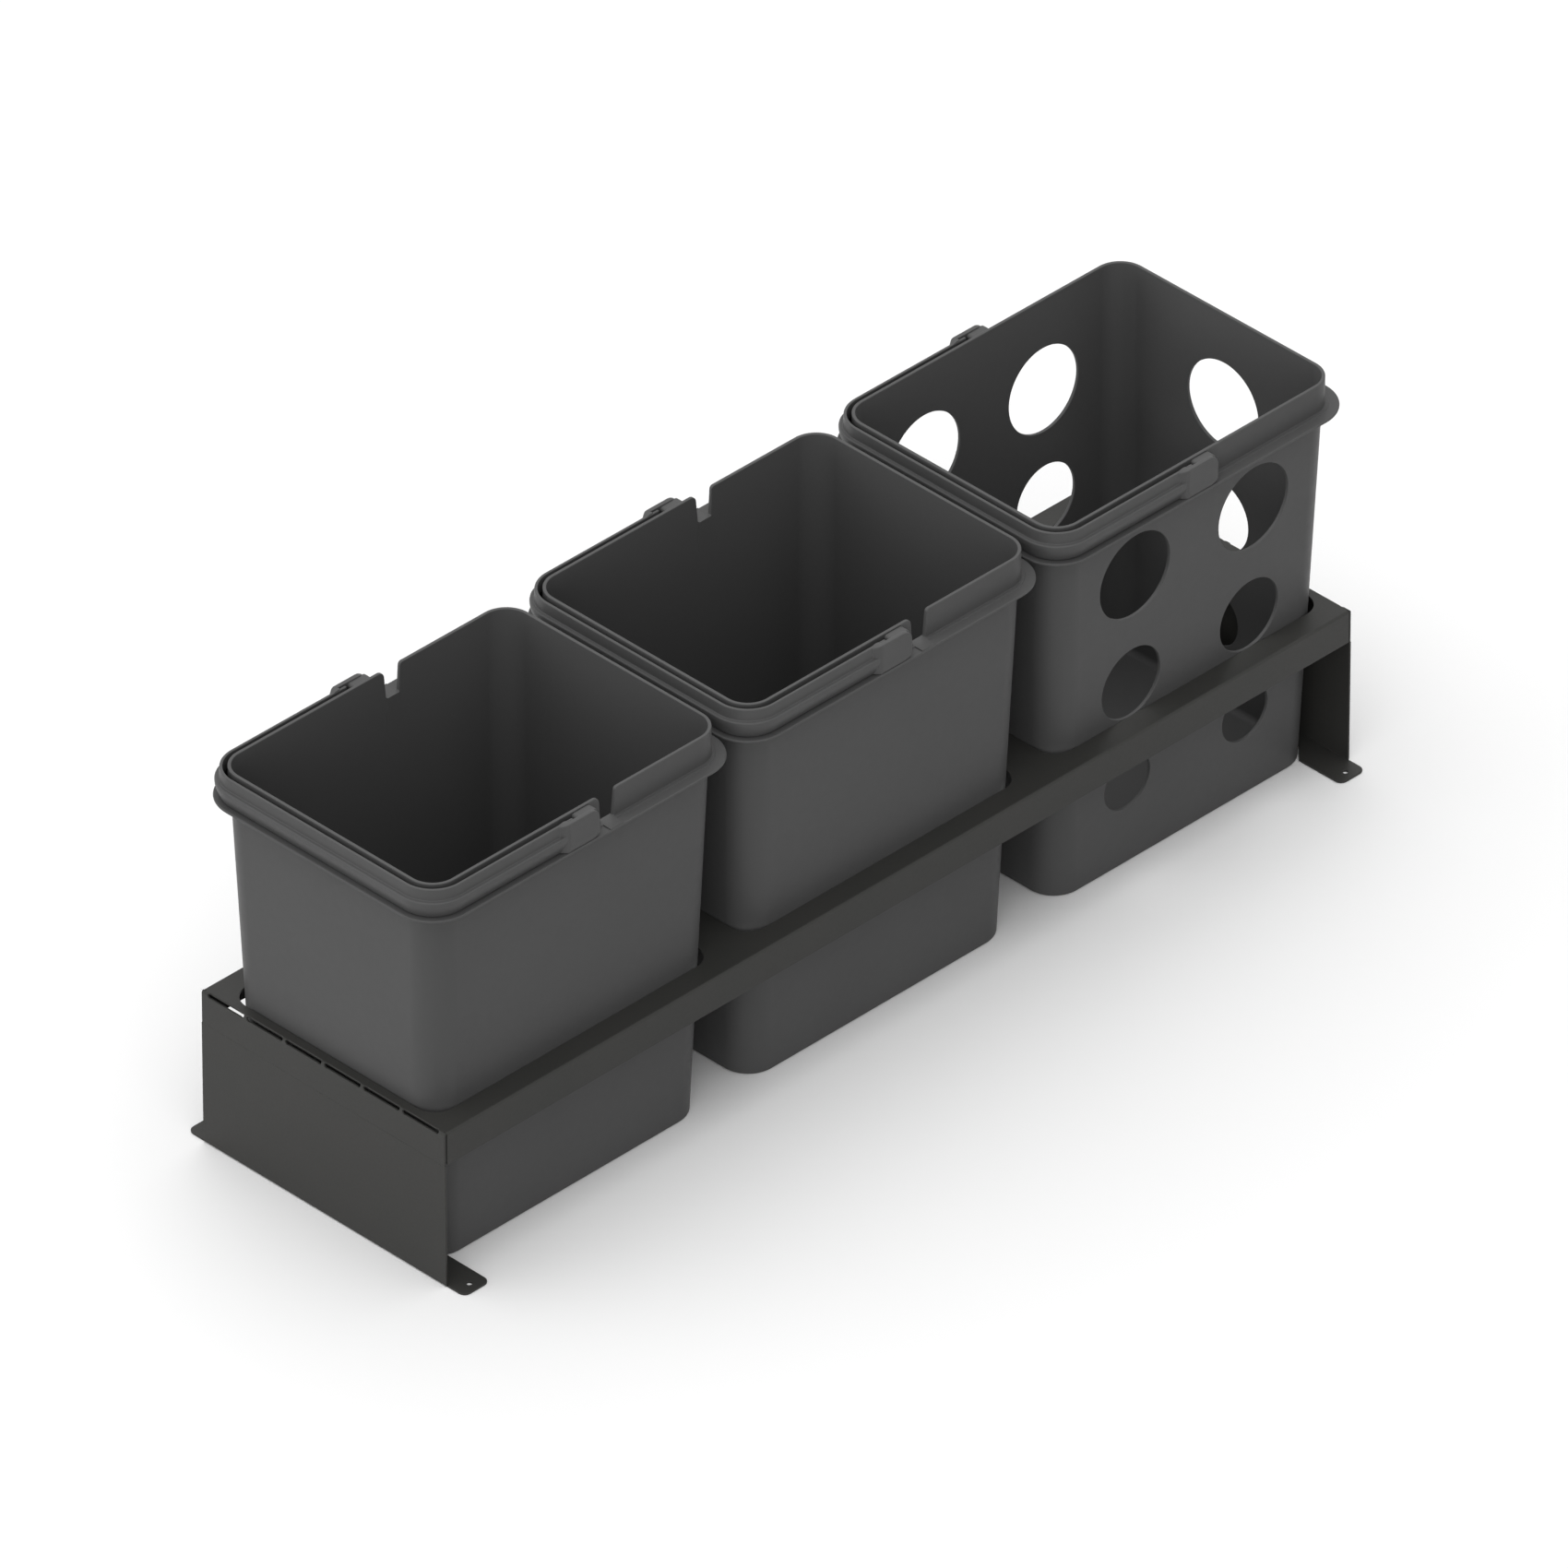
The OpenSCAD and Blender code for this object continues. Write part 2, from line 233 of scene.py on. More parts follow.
def rounded_path(corners, closed=False, steps=ROUND_STEPS):
    """Points of a polygon or polyline whose corners, given as (u, v, radius), are rounded."""
    points = []
    count = len(corners)
    for i, (u, v, radius) in enumerate(corners):
        here = Vector((u, v))
        if radius <= 0 or (not closed and i in (0, count - 1)):
            points.append(here)
            continue
        before = (Vector(corners[i - 1][:2]) - here).normalized()
        after = (Vector(corners[(i + 1) % count][:2]) - here).normalized()
        half = before.angle(after) / 2
        centre = here + (before + after).normalized() * radius / math.sin(half)
        start = here + before * radius / math.tan(half) - centre
        end = here + after * radius / math.tan(half) - centre
        turn = start.angle_signed(end)
        for k in range(steps + 1):
            angle = -turn * k / steps
            points.append(centre + Vector((
                start.x * math.cos(angle) - start.y * math.sin(angle),
                start.x * math.sin(angle) + start.y * math.cos(angle))))
    return points


def circle_points(u, v, radius, steps=HOLE_STEPS):
    """Points of a circle."""
    return [Vector((u + radius * math.cos(2 * math.pi * k / steps),
                    v + radius * math.sin(2 * math.pi * k / steps))) for k in range(steps)]


def ring_points(reach, radius, quadrants):
    """Points round the corners of a rounded rectangle that lies outside the collar by reach."""
    points = []
    for quadrant in quadrants:
        start = quadrant * math.pi / 2
        x_sign = 1 if quadrant in (0, 3) else -1
        y_sign = 1 if quadrant in (0, 1) else -1
        centre_x = x_sign * (COLLAR_X + reach - radius)
        centre_y = y_sign * (COLLAR_Y + reach - radius)
        for k in range(CORNER_STEPS + 1):
            angle = start + k * math.pi / 2 / CORNER_STEPS
            points.append((centre_x + radius * math.cos(angle), centre_y + radius * math.sin(angle)))
    return points


def loft(rings):
    """A closed mesh through rings of points, with a flat cap on the first ring and on the last."""
    bm = bmesh.new()
    rows = [[bm.verts.new(point) for point in ring] for ring in rings]
    for low, high in zip(rows, rows[1:]):
        for k in range(len(low)):
            n = (k + 1) % len(low)
            bm.faces.new((low[k], low[n], high[n], high[k]))
    bm.faces.new(list(reversed(rows[0])))
    bm.faces.new(rows[-1])
    bmesh.ops.recalc_face_normals(bm, faces=bm.faces)
    return bm


def prism(points, low, high, place):
    """An outline drawn out from one distance to another. place turns (u, v, distance) into (x, y, z)."""
    return loft([[place(p[0], p[1], w) for p in points] for w in (low, high)])


def slab(points, side, low, high):
    """A side view drawn out across the row, between two distances on one side of its middle."""
    return prism(points, side * low, side * high, lambda u, v, w: (u, w, v))


def make_object(name, bm):
    """A mesh object from a bmesh in millimetres."""
    bmesh.ops.scale(bm, vec=(MM, MM, MM), verts=bm.verts)
    mesh = bpy.data.meshes.new(name)
    bm.to_mesh(mesh)
    bm.free()
    made = bpy.data.objects.new(name, mesh)
    bpy.context.scene.collection.objects.link(made)
    return made


def apply_modifiers(piece):
    """Replaces a piece's mesh with its evaluated mesh."""
    bpy.context.view_layer.update()
    graph = bpy.context.evaluated_depsgraph_get()
    mesh = bpy.data.meshes.new_from_object(piece.evaluated_get(graph))
    old = piece.data
    piece.modifiers.clear()
    piece.data = mesh
    bpy.data.meshes.remove(old)


def combine(piece, bm, operation):
    """Joins a closed mesh to a piece, or cuts it out of the piece."""
    tool = make_object("tool", bm)
    modifier = piece.modifiers.new("cut", "BOOLEAN")
    modifier.operation = operation
    modifier.solver = "EXACT"
    modifier.object = tool
    apply_modifiers(piece)
    bpy.data.objects.remove(tool)


def round_edges(piece, radius, chosen, steps=2, least=ROUNDED_ANGLE, merged=True):
    """Rounds edges that turn outward by least degrees and whose middle, in millimetres, is chosen."""
    bm = bmesh.new()
    bm.from_mesh(piece.data)
    bmesh.ops.remove_doubles(bm, verts=bm.verts, dist=NEAR * MM)
    if merged:
        flat = math.radians(MERGED_ANGLE)
        bmesh.ops.dissolve_limit(bm, angle_limit=flat, verts=bm.verts, edges=bm.edges)
    edges = []
    for edge in bm.edges:
        if not edge.is_manifold or edge.calc_face_angle_signed(0) < math.radians(least):
            continue
        middle = (edge.verts[0].co + edge.verts[1].co) / 2 / MM
        if chosen(middle):
            edges.append(edge)
    bmesh.ops.bevel(bm, geom=edges, offset=radius * MM, offset_type="OFFSET", segments=steps,
                    profile=0.5, affect="EDGES", clamp_overlap=False)
    bm.to_mesh(piece.data)
    bm.free()


def finish_piece(piece, body, node, material):
    """Shades a piece smoothly but for its sharp edges, gives it its material, and sets it on its body."""
    bm = bmesh.new()
    bm.from_mesh(piece.data)
    for edge in bm.edges:
        edge.smooth = edge.is_manifold and edge.calc_face_angle() < math.radians(SHARP_ANGLE)
        edge.seam = False
    for face in bm.faces:
        face.smooth = True
    bm.to_mesh(piece.data)
    bm.free()
    normals = piece.modifiers.new("normals", "WEIGHTED_NORMAL")
    normals.weight = 100
    normals.keep_sharp = True
    piece.data.materials.clear()
    piece.data.materials.append(material)
    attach(piece, body)
    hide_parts(node)


# Tubs

def tub_profile():
    """Stations (reach, z, corner radius) from the middle of the underside round to that of the floor."""
    floor_reach = wall_reach(FLOOR) - WALL
    corners = [
        (wall_reach(0) - BOTTOM_INSET, 0, 0),
        (wall_reach(0), 0, BOTTOM_ROUND),
        (wall_reach(RIM - RIM_THICKNESS), RIM - RIM_THICKNESS, UNDER_ROUND),
        (RIM_REACH, RIM - RIM_THICKNESS, RIM_ROUND),
        (RIM_REACH, RIM, RIM_ROUND),
        (STEP_WIDTH, RIM, STEP_ROUND),
        (STEP_WIDTH, RIM + STEP_HEIGHT, STEP_ROUND),
        (0, RIM + STEP_HEIGHT, STEP_ROUND),
        (0, TOP, 0),
        (wall_reach(TOP) - WALL, TOP, 0),
        (floor_reach, FLOOR, FLOOR_ROUND),
        (floor_reach - FLOOR_INSET, FLOOR, 0),
    ]
    stations = []
    for reach, z in rounded_path(corners):
        past_wall = reach - wall_reach(z)
        if reach > -COLLAR_STEP - NEAR:
            # Flange and collar, which share one centre at each corner
            radius = COLLAR_CORNER + reach
        elif z <= RIM and past_wall > -WALL / 2:
            # Underside and outer face of the walls
            radius = CORNER + min(0, past_wall)
        else:
            # Inner face and floor, a little sharper towards the top
            sharpening = (CORNER - COLLAR_CORNER) * z / TOP
            radius = CORNER - WALL - sharpening + min(0, past_wall + WALL)
        stations.append((reach, z, max(radius, LEAST_CORNER)))
    return stations


def tub_body():
    """Walls, floor, rim flange and collar of a tub, round its own middle."""
    rings = []
    for reach, z, radius in tub_profile():
        rings.append([(x, y, z) for x, y in ring_points(reach, radius, (0, 1, 2, 3))])
    return make_object("tub", loft(rings))


def add_pins(piece):
    """Adds the two pivot pins to a tub."""
    outline = circle_points(PIVOT_OFFSET, PIVOT_Z, PIN_RADIUS, PIN_STEPS)
    for side in (-1, 1):
        combine(piece, slab(outline, side, COLLAR_Y - WALL / 2, COLLAR_Y + PIN_REACH), "UNION")


def notch_outline():
    """Side view of the tool that cuts a notch, which widens along the collar's top."""
    foot = RIM + STEP_HEIGHT - NOTCH_SINK
    half = NOTCH_WIDTH / 2
    mouth = half + NOTCH_FLARE
    far = NOTCH_TOOL_HALF
    above = TOP + NOTCH_TOOL_RISE
    outline = rounded_path([
        (-far, above, 0),
        (-far, TOP, 0),
        (-mouth, TOP, NOTCH_LEFT_ROUND),
        (-half, foot, NOTCH_FOOT_ROUND),
        (half, foot, NOTCH_FOOT_ROUND),
        (mouth, TOP, NOTCH_RIGHT_ROUND),
        (far, TOP, 0),
        (far, above, 0),
    ], steps=NOTCH_STEPS)
    return [Vector((NOTCH_OFFSET + p.x, p.y)) for p in outline]


def notch_shelf(side):
    """The low shelf on the rim flange in front of a notch."""
    left = NOTCH_OFFSET - NOTCH_WIDTH / 2
    right = NOTCH_OFFSET + NOTCH_WIDTH / 2
    root = COLLAR_Y - JOIN_DEPTH
    front = COLLAR_Y + RIM_REACH - SHELF_INSET
    plan = [(left, root), (right, root), (right, front), (left, front)]
    return prism(plan, RIM - RIM_THICKNESS / 2, RIM + STEP_HEIGHT, lambda u, v, w: (u, side * v, w))


def guide_pad(side):
    """The pad inside one long wall, behind its notch, which thickens towards its top."""
    low = RIM - PAD_LENGTH
    high = TOP - PAD_DROP
    low_face = tub_wall_y(low) - WALL
    high_face = tub_wall_y(high) - WALL
    section = [
        (low_face + JOIN_DEPTH, low),
        (low_face, low),
        (high_face - PAD_THICKNESS, high),
        (high_face + JOIN_DEPTH, high),
    ]
    left = NOTCH_OFFSET - NOTCH_WIDTH / 2
    return prism(section, left, left + NOTCH_WIDTH, lambda u, v, w: (w, side * u, v))


def make_notched_tub():
    """A tub with two notches, for the left and middle places."""
    piece = tub_body()
    for side in (-1, 1):
        combine(piece, guide_pad(side), "UNION")
        combine(piece, notch_shelf(side), "UNION")
    for side in (-1, 1):
        combine(piece, slab(notch_outline(), side, COLLAR_Y / 2, COLLAR_Y + 2 * RIM_REACH), "DIFFERENCE")
    add_pins(piece)
    above = RIM + STEP_HEIGHT + PICK_MARGIN
    round_edges(piece, TOP_ROUND, lambda p: p.z > above and abs(p.y) < COLLAR_Y + PICK_MARGIN)
    return piece


def hole_cutter(column, z, radius, face, place):
    """A tool for a round hole with soft rims through a leaning wall whose outer face lies at face."""
    stations = []
    for angle in HOLE_ROUND_ANGLES:
        turn = math.radians(angle)
        depth = HOLE_ROUND * (1 - math.cos(turn))
        stations.append((depth, radius + HOLE_ROUND * (1 - math.sin(turn))))
    start = math.radians(HOLE_ROUND_ANGLES[0])
    run = (stations[0][0] + CUTTER_MARGIN) / math.sin(start)
    stations.insert(0, (-CUTTER_MARGIN, stations[0][1] + run * math.cos(start)))
    stations += [(WALL - depth, size) for depth, size in reversed(stations)]
    rings = []
    for depth, size in stations:
        ring = []
        for u, v in circle_points(column, z, size):
            ring.append(place(u, v, face + DRAFT * (v - z) - depth))
        rings.append(ring)
    return loft(rings)


def make_perforated_tub():
    """The right tub, with round holes in all four walls."""
    piece = tub_body()
    add_pins(piece)
    round_edges(piece, TOP_ROUND, lambda p: p.z > TOP - PICK_MARGIN)
    for diameter, depth in HOLE_ROWS:
        z = RIM - depth
        radius = diameter / 2
        for side in (-1, 1):
            for column in (-HOLE_COLUMN, HOLE_COLUMN):
                tool = hole_cutter(column, z, radius, tub_wall_y(z), lambda u, v, w: (u, side * w, v))
                combine(piece, tool, "DIFFERENCE")
            tool = hole_cutter(0, z, radius, tub_wall_x(z), lambda u, v, w: (side * w, u, v))
            combine(piece, tool, "DIFFERENCE")
    return piece


# Handles

def skirt_curve(reach):
    """Points down a face of the bail's skirt, which bends in more and more towards its foot."""
    points = []
    for k in range(SKIRT_STEPS + 1):
        share = k / SKIRT_STEPS
        depth = SKIRT_BEND_DEPTH + share * (SKIRT_DEPTH - SKIRT_BEND_DEPTH)
        points.append((reach - SKIRT_CURL * share ** SKIRT_POWER, TOP - depth, 0))
    return points


def bail_profile():
    """Closed section of the bail, as (reach, z): the band, and the skirt that hangs outside its foot."""
    top = TOP - BAND_DROP
    ledge = TOP - LEDGE_DEPTH
    under = ledge - BAND_THICKNESS
    skirt_back = SKIRT_REACH - SKIRT_THICKNESS
    return rounded_path([
        (HANDLE_GAP, top, BAND_INNER_ROUND),
        (HANDLE_GAP, under, BAND_ROUND),
        (skirt_back, under, SKIRT_ROOT_ROUND),
        *skirt_curve(skirt_back),
        *reversed(skirt_curve(SKIRT_REACH)),
        (SKIRT_REACH, ledge, LEDGE_ROUND),
        (HANDLE_GAP + BAND_THICKNESS, ledge, BAND_ROUND),
        (HANDLE_GAP + BAND_TOP_THICKNESS, top, BAND_ROUND),
    ], closed=True)


def bail_path(reach):
    """Points of the bail's way round the left half of the collar."""
    end = LUG_LEFT + LUG_ROOT
    side = COLLAR_Y + reach
    return [(end, side)] + ring_points(reach, COLLAR_CORNER + reach, (1, 2)) + [(end, -side)]


def make_bail():
    """The bail without its lugs, round the middle of its tub."""
    section = bail_profile()
    paths = [bail_path(reach) for reach, _ in section]
    rings = []
    for places in zip(*paths):
        rings.append([(x, y, z) for (x, y), (_, z) in zip(places, section)])
    return make_object("handle", loft(rings))


def lug_outline():
    """Side view of a lug plate, which is round below the pivot and at its top right corner."""
    drop = math.asin(LUG_END / LUG_RADIUS)
    arc = []
    for k in range(LUG_ARC_STEPS + 1):
        angle = drop * k / LUG_ARC_STEPS
        arc.append((LUG_RADIUS * math.sin(angle), -LUG_RADIUS * math.cos(angle), 0))
    outline = rounded_path([
        (-LUG_LENGTH, PIVOT_DEPTH, 0),
        (-LUG_LENGTH, -LUG_RADIUS, 0),
        *arc,
        (LUG_END, PIVOT_DEPTH, LUG_END - NEAR),
    ], closed=True, steps=LUG_STEPS)
    return [(PIVOT_OFFSET + p.x, PIVOT_Z + p.y) for p in outline]


def boss_outline():
    """Side view of the boss behind a lug plate."""
    left = PIVOT_OFFSET - BOSS_LEFT
    right = PIVOT_OFFSET + BOSS_RIGHT
    low = PIVOT_Z - BOSS_HALF
    high = PIVOT_Z + BOSS_HALF
    corners = [(x, z, BOSS_ROUND) for x, z in ((right, high), (left, high), (left, low), (right, low))]
    return rounded_path(corners, closed=True, steps=LUG_STEPS)


def lug_blend(side):
    """The swelling through which the bail's band and skirt run smoothly into a lug plate."""
    inner = COLLAR_Y + HANDLE_GAP + BAND_TOP_THICKNESS - HANDLE_ROUND
    outer = COLLAR_Y + LUG_REACH
    root = inner - JOIN_DEPTH
    foot = PIVOT_Z - LUG_RADIUS
    rings = []
    for k in range(BLEND_STEPS + 1):
        share = k / BLEND_STEPS
        swell = share * share * (3 - 2 * share)
        face = inner + swell * (outer - inner) - HAIR
        high = TOP - (1 - swell) * (BAND_DROP + HANDLE_ROUND) - HAIR
        low = foot + (1 - swell) * BLEND_LIFT + HAIR
        corners = [(root, low, 0), (face, low, 0), (face, high, HANDLE_ROUND), (root, high, 0)]
        ring = rounded_path(corners, closed=True, steps=BLEND_EDGE_STEPS)
        rings.append([(LUG_LEFT - (1 - share) * BLEND_LENGTH, side * y, z) for y, z in ring])
    # A last ring, just inside the plate
    rings.append([(LUG_LEFT + 2 * HANDLE_ROUND, side * y, z) for y, z in ring])
    return loft(rings)


def make_handle():
    """A bail with its two lugs, round the middle of its tub."""
    piece = make_bail()
    bore = circle_points(PIVOT_OFFSET, PIVOT_Z, BORE_RADIUS, PIN_STEPS)
    back = COLLAR_Y + HANDLE_GAP + BAND_THICKNESS
    for side in (-1, 1):
        combine(piece, lug_blend(side), "UNION")
        combine(piece, slab(lug_outline(), side, back - HAIR, COLLAR_Y + LUG_REACH), "UNION")
        combine(piece, slab(boss_outline(), side, COLLAR_Y + BOSS_GAP, back + JOIN_DEPTH), "UNION")
        combine(piece, slab(bore, side, COLLAR_Y - CUTTER_MARGIN, COLLAR_Y + BORE_REACH), "DIFFERENCE")
    start = LUG_LEFT + LUG_PICK_MARGIN
    near = COLLAR_Y + HANDLE_GAP - PICK_MARGIN
    round_edges(piece, HANDLE_ROUND, lambda p: p.x > start and abs(p.y) > near)
    return piece


# Sheet frame

def blank_outline():
    """Outline of the flat blank: x along the row and y across it, unfolded from the top plate."""
    lip = FLAT_Y + FOLD_RUN + LIP_HEIGHT - FOLD_RADIUS
    seam_end = FLAT_X + FOLD_RUN + LIP_HEIGHT - FOLD_RADIUS + SEAM
    side = FRAME_Y - SEAM
    foot_depth = END_GAP - FOOT_GAP
    foot_edge = FOOT_X + foot_depth - FOLD_RADIUS
    ear_edge = FOOT_X + EAR_DEPTH - FOLD_RADIUS
    ear_start = FOOT_X + EAR_INSET - FOLD_RADIUS
    ear_run = tub_wall_y(0) + EAR_DEPTH - END_GAP + math.sqrt(2) * (CORNER + FOOT_GAP) - 2 * CORNER
    slant = EAR_DEPTH - foot_depth
    quarter = [
        (FLAT_X - SEAM_HALF, lip, SHEET_CORNER),
        (FLAT_X - SEAM_HALF, FLAT_Y - RELIEF, SEAM_ROUND),
        (FLAT_X + SEAM_HALF, FLAT_Y - RELIEF, SEAM_ROUND),
        (FLAT_X + SEAM_HALF, side, SEAM_ROUND),
        (seam_end, side, SEAM_ROUND),
        (seam_end, FRAME_Y, SEAM_ROUND),
        (FOOT_X, FRAME_Y, SEAM_ROUND),
        (FOOT_X, FRAME_Y + SEAM, EAR_ROOT_ROUND),
        (ear_start, FRAME_Y + SEAM, EAR_ROOT_ROUND),
        (ear_start, frame_high.y, EAR_CORNER),
        (ear_edge, frame_high.y, EAR_CORNER),
        (ear_edge, ear_run, SHEET_CORNER),
        (foot_edge, ear_run - slant, SHEET_CORNER),
    ]
    back = quarter[::-1]
    corners = []
    for x_sign, y_sign, run in ((1, 1, quarter), (1, -1, back), (-1, -1, quarter), (-1, 1, back)):
        corners += [(x_sign * x, y_sign * y, radius) for x, y, radius in run]
    return rounded_path(corners, closed=True)


def tub_openings():
    """The openings of the top plate that the tubs hang through."""
    neck_x = tub_wall_x(frame_high.z) + OPENING_GAP
    neck_y = tub_wall_y(frame_high.z) + OPENING_GAP
    openings = []
    for place in TUB_PLACES.values():
        corners = []
        for x_sign, y_sign in ((1, 1), (-1, 1), (-1, -1), (1, -1)):
            corners.append((place + x_sign * neck_x, y_sign * neck_y, OPENING_RADIUS))
        openings.append(rounded_path(corners, closed=True, steps=OPENING_STEPS))
    return openings


def fold_slots(sign):
    """The row of slots along one end fold. Each has a round relief hole at either end."""
    slot = (2 * FRAME_Y - 2 * SLOT_MARGIN - (SLOT_COUNT - 1) * SLOT_BRIDGE) / SLOT_COUNT
    half_run = SLOT_RUN / 2
    middle = FLAT_X + SLOT_START + half_run
    dot_half = math.sqrt(SLOT_DOT ** 2 - half_run ** 2)
    sweep = 2 * math.pi - 2 * math.atan2(half_run, dot_half)
    slots = []
    for i in range(SLOT_COUNT):
        centre = (i - (SLOT_COUNT - 1) / 2) * (slot + SLOT_BRIDGE)
        outline = []
        for end in (1, -1):
            dot = centre + end * (slot / 2 - SLOT_DOT_INSET)
            start = math.atan2(-end * dot_half, end * half_run)
            for k in range(DOT_STEPS + 1):
                angle = start + sweep * k / DOT_STEPS
                outline.append(Vector((sign * (middle + SLOT_DOT * math.cos(angle)),
                                       dot + SLOT_DOT * math.sin(angle))))
        slots.append(outline)
    return slots


def screw_holes(sign):
    """The screw holes in the two ears of one foot."""
    x = sign * (FOOT_X + (EAR_INSET + EAR_DEPTH) / 2 - FOLD_RADIUS)
    y = FRAME_Y + SCREW_REACH
    return [circle_points(x, side * y, SCREW_HOLE / 2, SCREW_STEPS) for side in (-1, 1)]


def blank_holes():
    """Every hole of the flat blank."""
    holes = tub_openings()
    for sign in (-1, 1):
        holes += fold_slots(sign) + screw_holes(sign)
    return holes


def fold_lines():
    """Lines across the flat blank along which its folds are divided."""
    lines = []
    for sign in (-1, 1):
        for k in range(FOLD_STEPS + 1):
            run = FOLD_RUN * k / FOLD_STEPS
            for start in (FLAT_X, FOOT_X - FOLD_RUN):
                x = sign * (start + run)
                lines.append(((x, -FRAME_Y), (x, FRAME_Y)))
            y = sign * (FLAT_Y + run)
            lines.append(((-FLAT_X, y), (FLAT_X, y)))
    return lines


def division_lines():
    """Lines across the flat blank through the middle of each hole, so that no face rings a hole."""
    lines = [((place, -FRAME_Y), (place, FRAME_Y)) for place in TUB_PLACES.values()]
    far = 2 * frame_high.x
    for y in (-FRAME_Y - SCREW_REACH, FRAME_Y + SCREW_REACH):
        lines.append(((-far, y), (far, y)))
    return lines


def on_division(co):
    """Whether a point of the folded frame, in millimetres, lies on a division line."""
    if abs(abs(co.y) - FRAME_Y - SCREW_REACH) < HAIR:
        return True
    return any(abs(co.x - place) < HAIR for place in TUB_PLACES.values())


def bend(run, start, height):
    """Distance out and height of a point that lies a run beyond the start of a downward fold."""
    if run <= 0:
        return start + run, height
    angle = min(run / FOLD_RADIUS, math.pi / 2)
    down = max(run - FOLD_RUN, 0)
    return start + FOLD_RADIUS * math.sin(angle), height - FOLD_RADIUS + FOLD_RADIUS * math.cos(angle) - down


def folded(x, y):
    """Where a point of the flat blank comes to lie on the outer face of the folded frame."""
    run = abs(x) - FLAT_X
    drop = abs(y) - FLAT_Y
    if run <= NEAR:
        out, z = bend(drop, FLAT_Y, frame_high.z)
        return Vector((x, math.copysign(out, y), z))
    foot = abs(x) - FOOT_X
    if run <= FOLD_RUN + END_PLATE:
        out, z = bend(run, FLAT_X, frame_high.z)
    elif foot < 0 and abs(y) <= FRAME_Y + NEAR:
        angle = (run - FOLD_RUN - END_PLATE) / FOLD_RADIUS
        out = FLAT_X + FOLD_RADIUS * math.cos(angle)
        z = FOLD_RADIUS - FOLD_RADIUS * math.sin(angle)
    else:
        out, z = FLAT_X - foot, 0
    return Vector((math.copysign(out, x), y, z))


def inside(point, outline):
    """Whether a point lies inside an outline."""
    found = False
    for a, b in zip(outline, outline[1:] + outline[:1]):
        if (a[1] > point[1]) != (b[1] > point[1]):
            if point[0] < a[0] + (point[1] - a[1]) * (b[0] - a[0]) / (b[1] - a[1]):
                found = not found
    return found


def folded_skin():
    """The outer face of the frame: the flat blank with its holes, divided along its lines and folded."""
    outline = blank_outline()
    holes = blank_holes()
    points = []
    edges = []
    for loop in [outline] + holes:
        first = len(points)
        points += [Vector(p) for p in loop]
        edges += [(first + k, first + (k + 1) % len(loop)) for k in range(len(loop))]
    for a, b in fold_lines() + division_lines():
        edges.append((len(points), len(points) + 1))
        points += [Vector(a), Vector(b)]
    verts, _, faces, *_ = delaunay_2d_cdt(points, edges, [], 0, BLANK_NEAR)
    bm = bmesh.new()
    placed = [bm.verts.new(folded(v.x, v.y)) for v in verts]
    for face in faces:
        middle = sum((verts[k] for k in face), Vector((0, 0))) / len(face)
        if inside(middle, outline) and not any(inside(middle, hole) for hole in holes):
            bm.faces.new([placed[k] for k in face])
    loose = [v for v in bm.verts if not v.link_faces]
    bmesh.ops.delete(bm, geom=loose, context="VERTS")
    return bm


def make_frame():
    """The frame: the folded skin with its flat faces merged, given the thickness of the sheet."""
    bm = folded_skin()
    for edge in bm.edges:
        edge.seam = all(on_division(v.co) for v in edge.verts)
    flat = math.radians(SHEET_MERGED_ANGLE)
    bmesh.ops.dissolve_limit(bm, angle_limit=flat, verts=bm.verts, edges=bm.edges, delimit={"SEAM"})
    bmesh.ops.recalc_face_normals(bm, faces=bm.faces)
    top = max(bm.faces, key=lambda face: face.calc_center_median().z)
    if top.normal.z < 0:
        bmesh.ops.reverse_faces(bm, faces=bm.faces)
    piece = make_object("frame_sheet", bm)
    thick = piece.modifiers.new("sheet", "SOLIDIFY")
    thick.thickness = SHEET * MM
    thick.offset = -1
    thick.use_even_offset = True
    apply_modifiers(piece)
    round_edges(piece, SHEET_ROUND, lambda p: True, steps=1, least=SHEET_ROUNDED_ANGLE, merged=False)
    return piece


# Materials: their tones, the sizes of their patches and grain, and the heights of their relief

SHEEN_LEVEL = 0.25
NOISE_MIDDLE = (0.25, 0.75)
WHITE = (1, 1, 1)

TUB_TONES = ((0.087, 0.087, 0.087), (0.091, 0.091, 0.091))
HANDLE_TONES = ((0.086, 0.086, 0.086), (0.090, 0.090, 0.090))
TONE_SIZE = 110
TONE_BAND = (0.35, 0.65)
FLECK_SIZE = 6
FLECK_GLOSS = 0.04
RIPPLE_HEIGHT = 0.6
RIPPLE_STRENGTH = 0.25
GRAIN_STRENGTH = 0.7

# The steel's own warm grey, and a slightly redder tone painted in slow patches as a reflection
STEEL_TONES_WITH_REFLECTION_TINT = ((0.0390, 0.0392, 0.0365), (0.0415, 0.0407, 0.0382))
REFLECTION_PATCH_SIZE = 60
REFLECTION_PATCH_BAND = (0.35, 0.7)
PEEL_SIZE = 1.6
PEEL_GLOSS = 0.05
PEEL_HEIGHT = 0.012
TOOTH_SIZE = 0.35
TOOTH_HEIGHT = 0.004
COAT_STRENGTH = 0.6


def new_material(name):
    """A material, its main shader, and makers of its nodes and links."""
    material = bpy.data.materials.new(name)
    material.use_nodes = True
    tree = material.node_tree
    shader = tree.nodes["Principled BSDF"]
    return material, shader, tree.nodes.new, tree.links.new


def noise(new, link, place, size, detail):
    """Noise whose patches are about size millimetres wide, as a number from 0 to 1."""
    made = new("ShaderNodeTexNoise")
    made.inputs["Scale"].default_value = 1 / (size * MM)
    made.inputs["Detail"].default_value = detail
    link(place.outputs["Object"], made.inputs["Vector"])
    return made.outputs["Fac"]


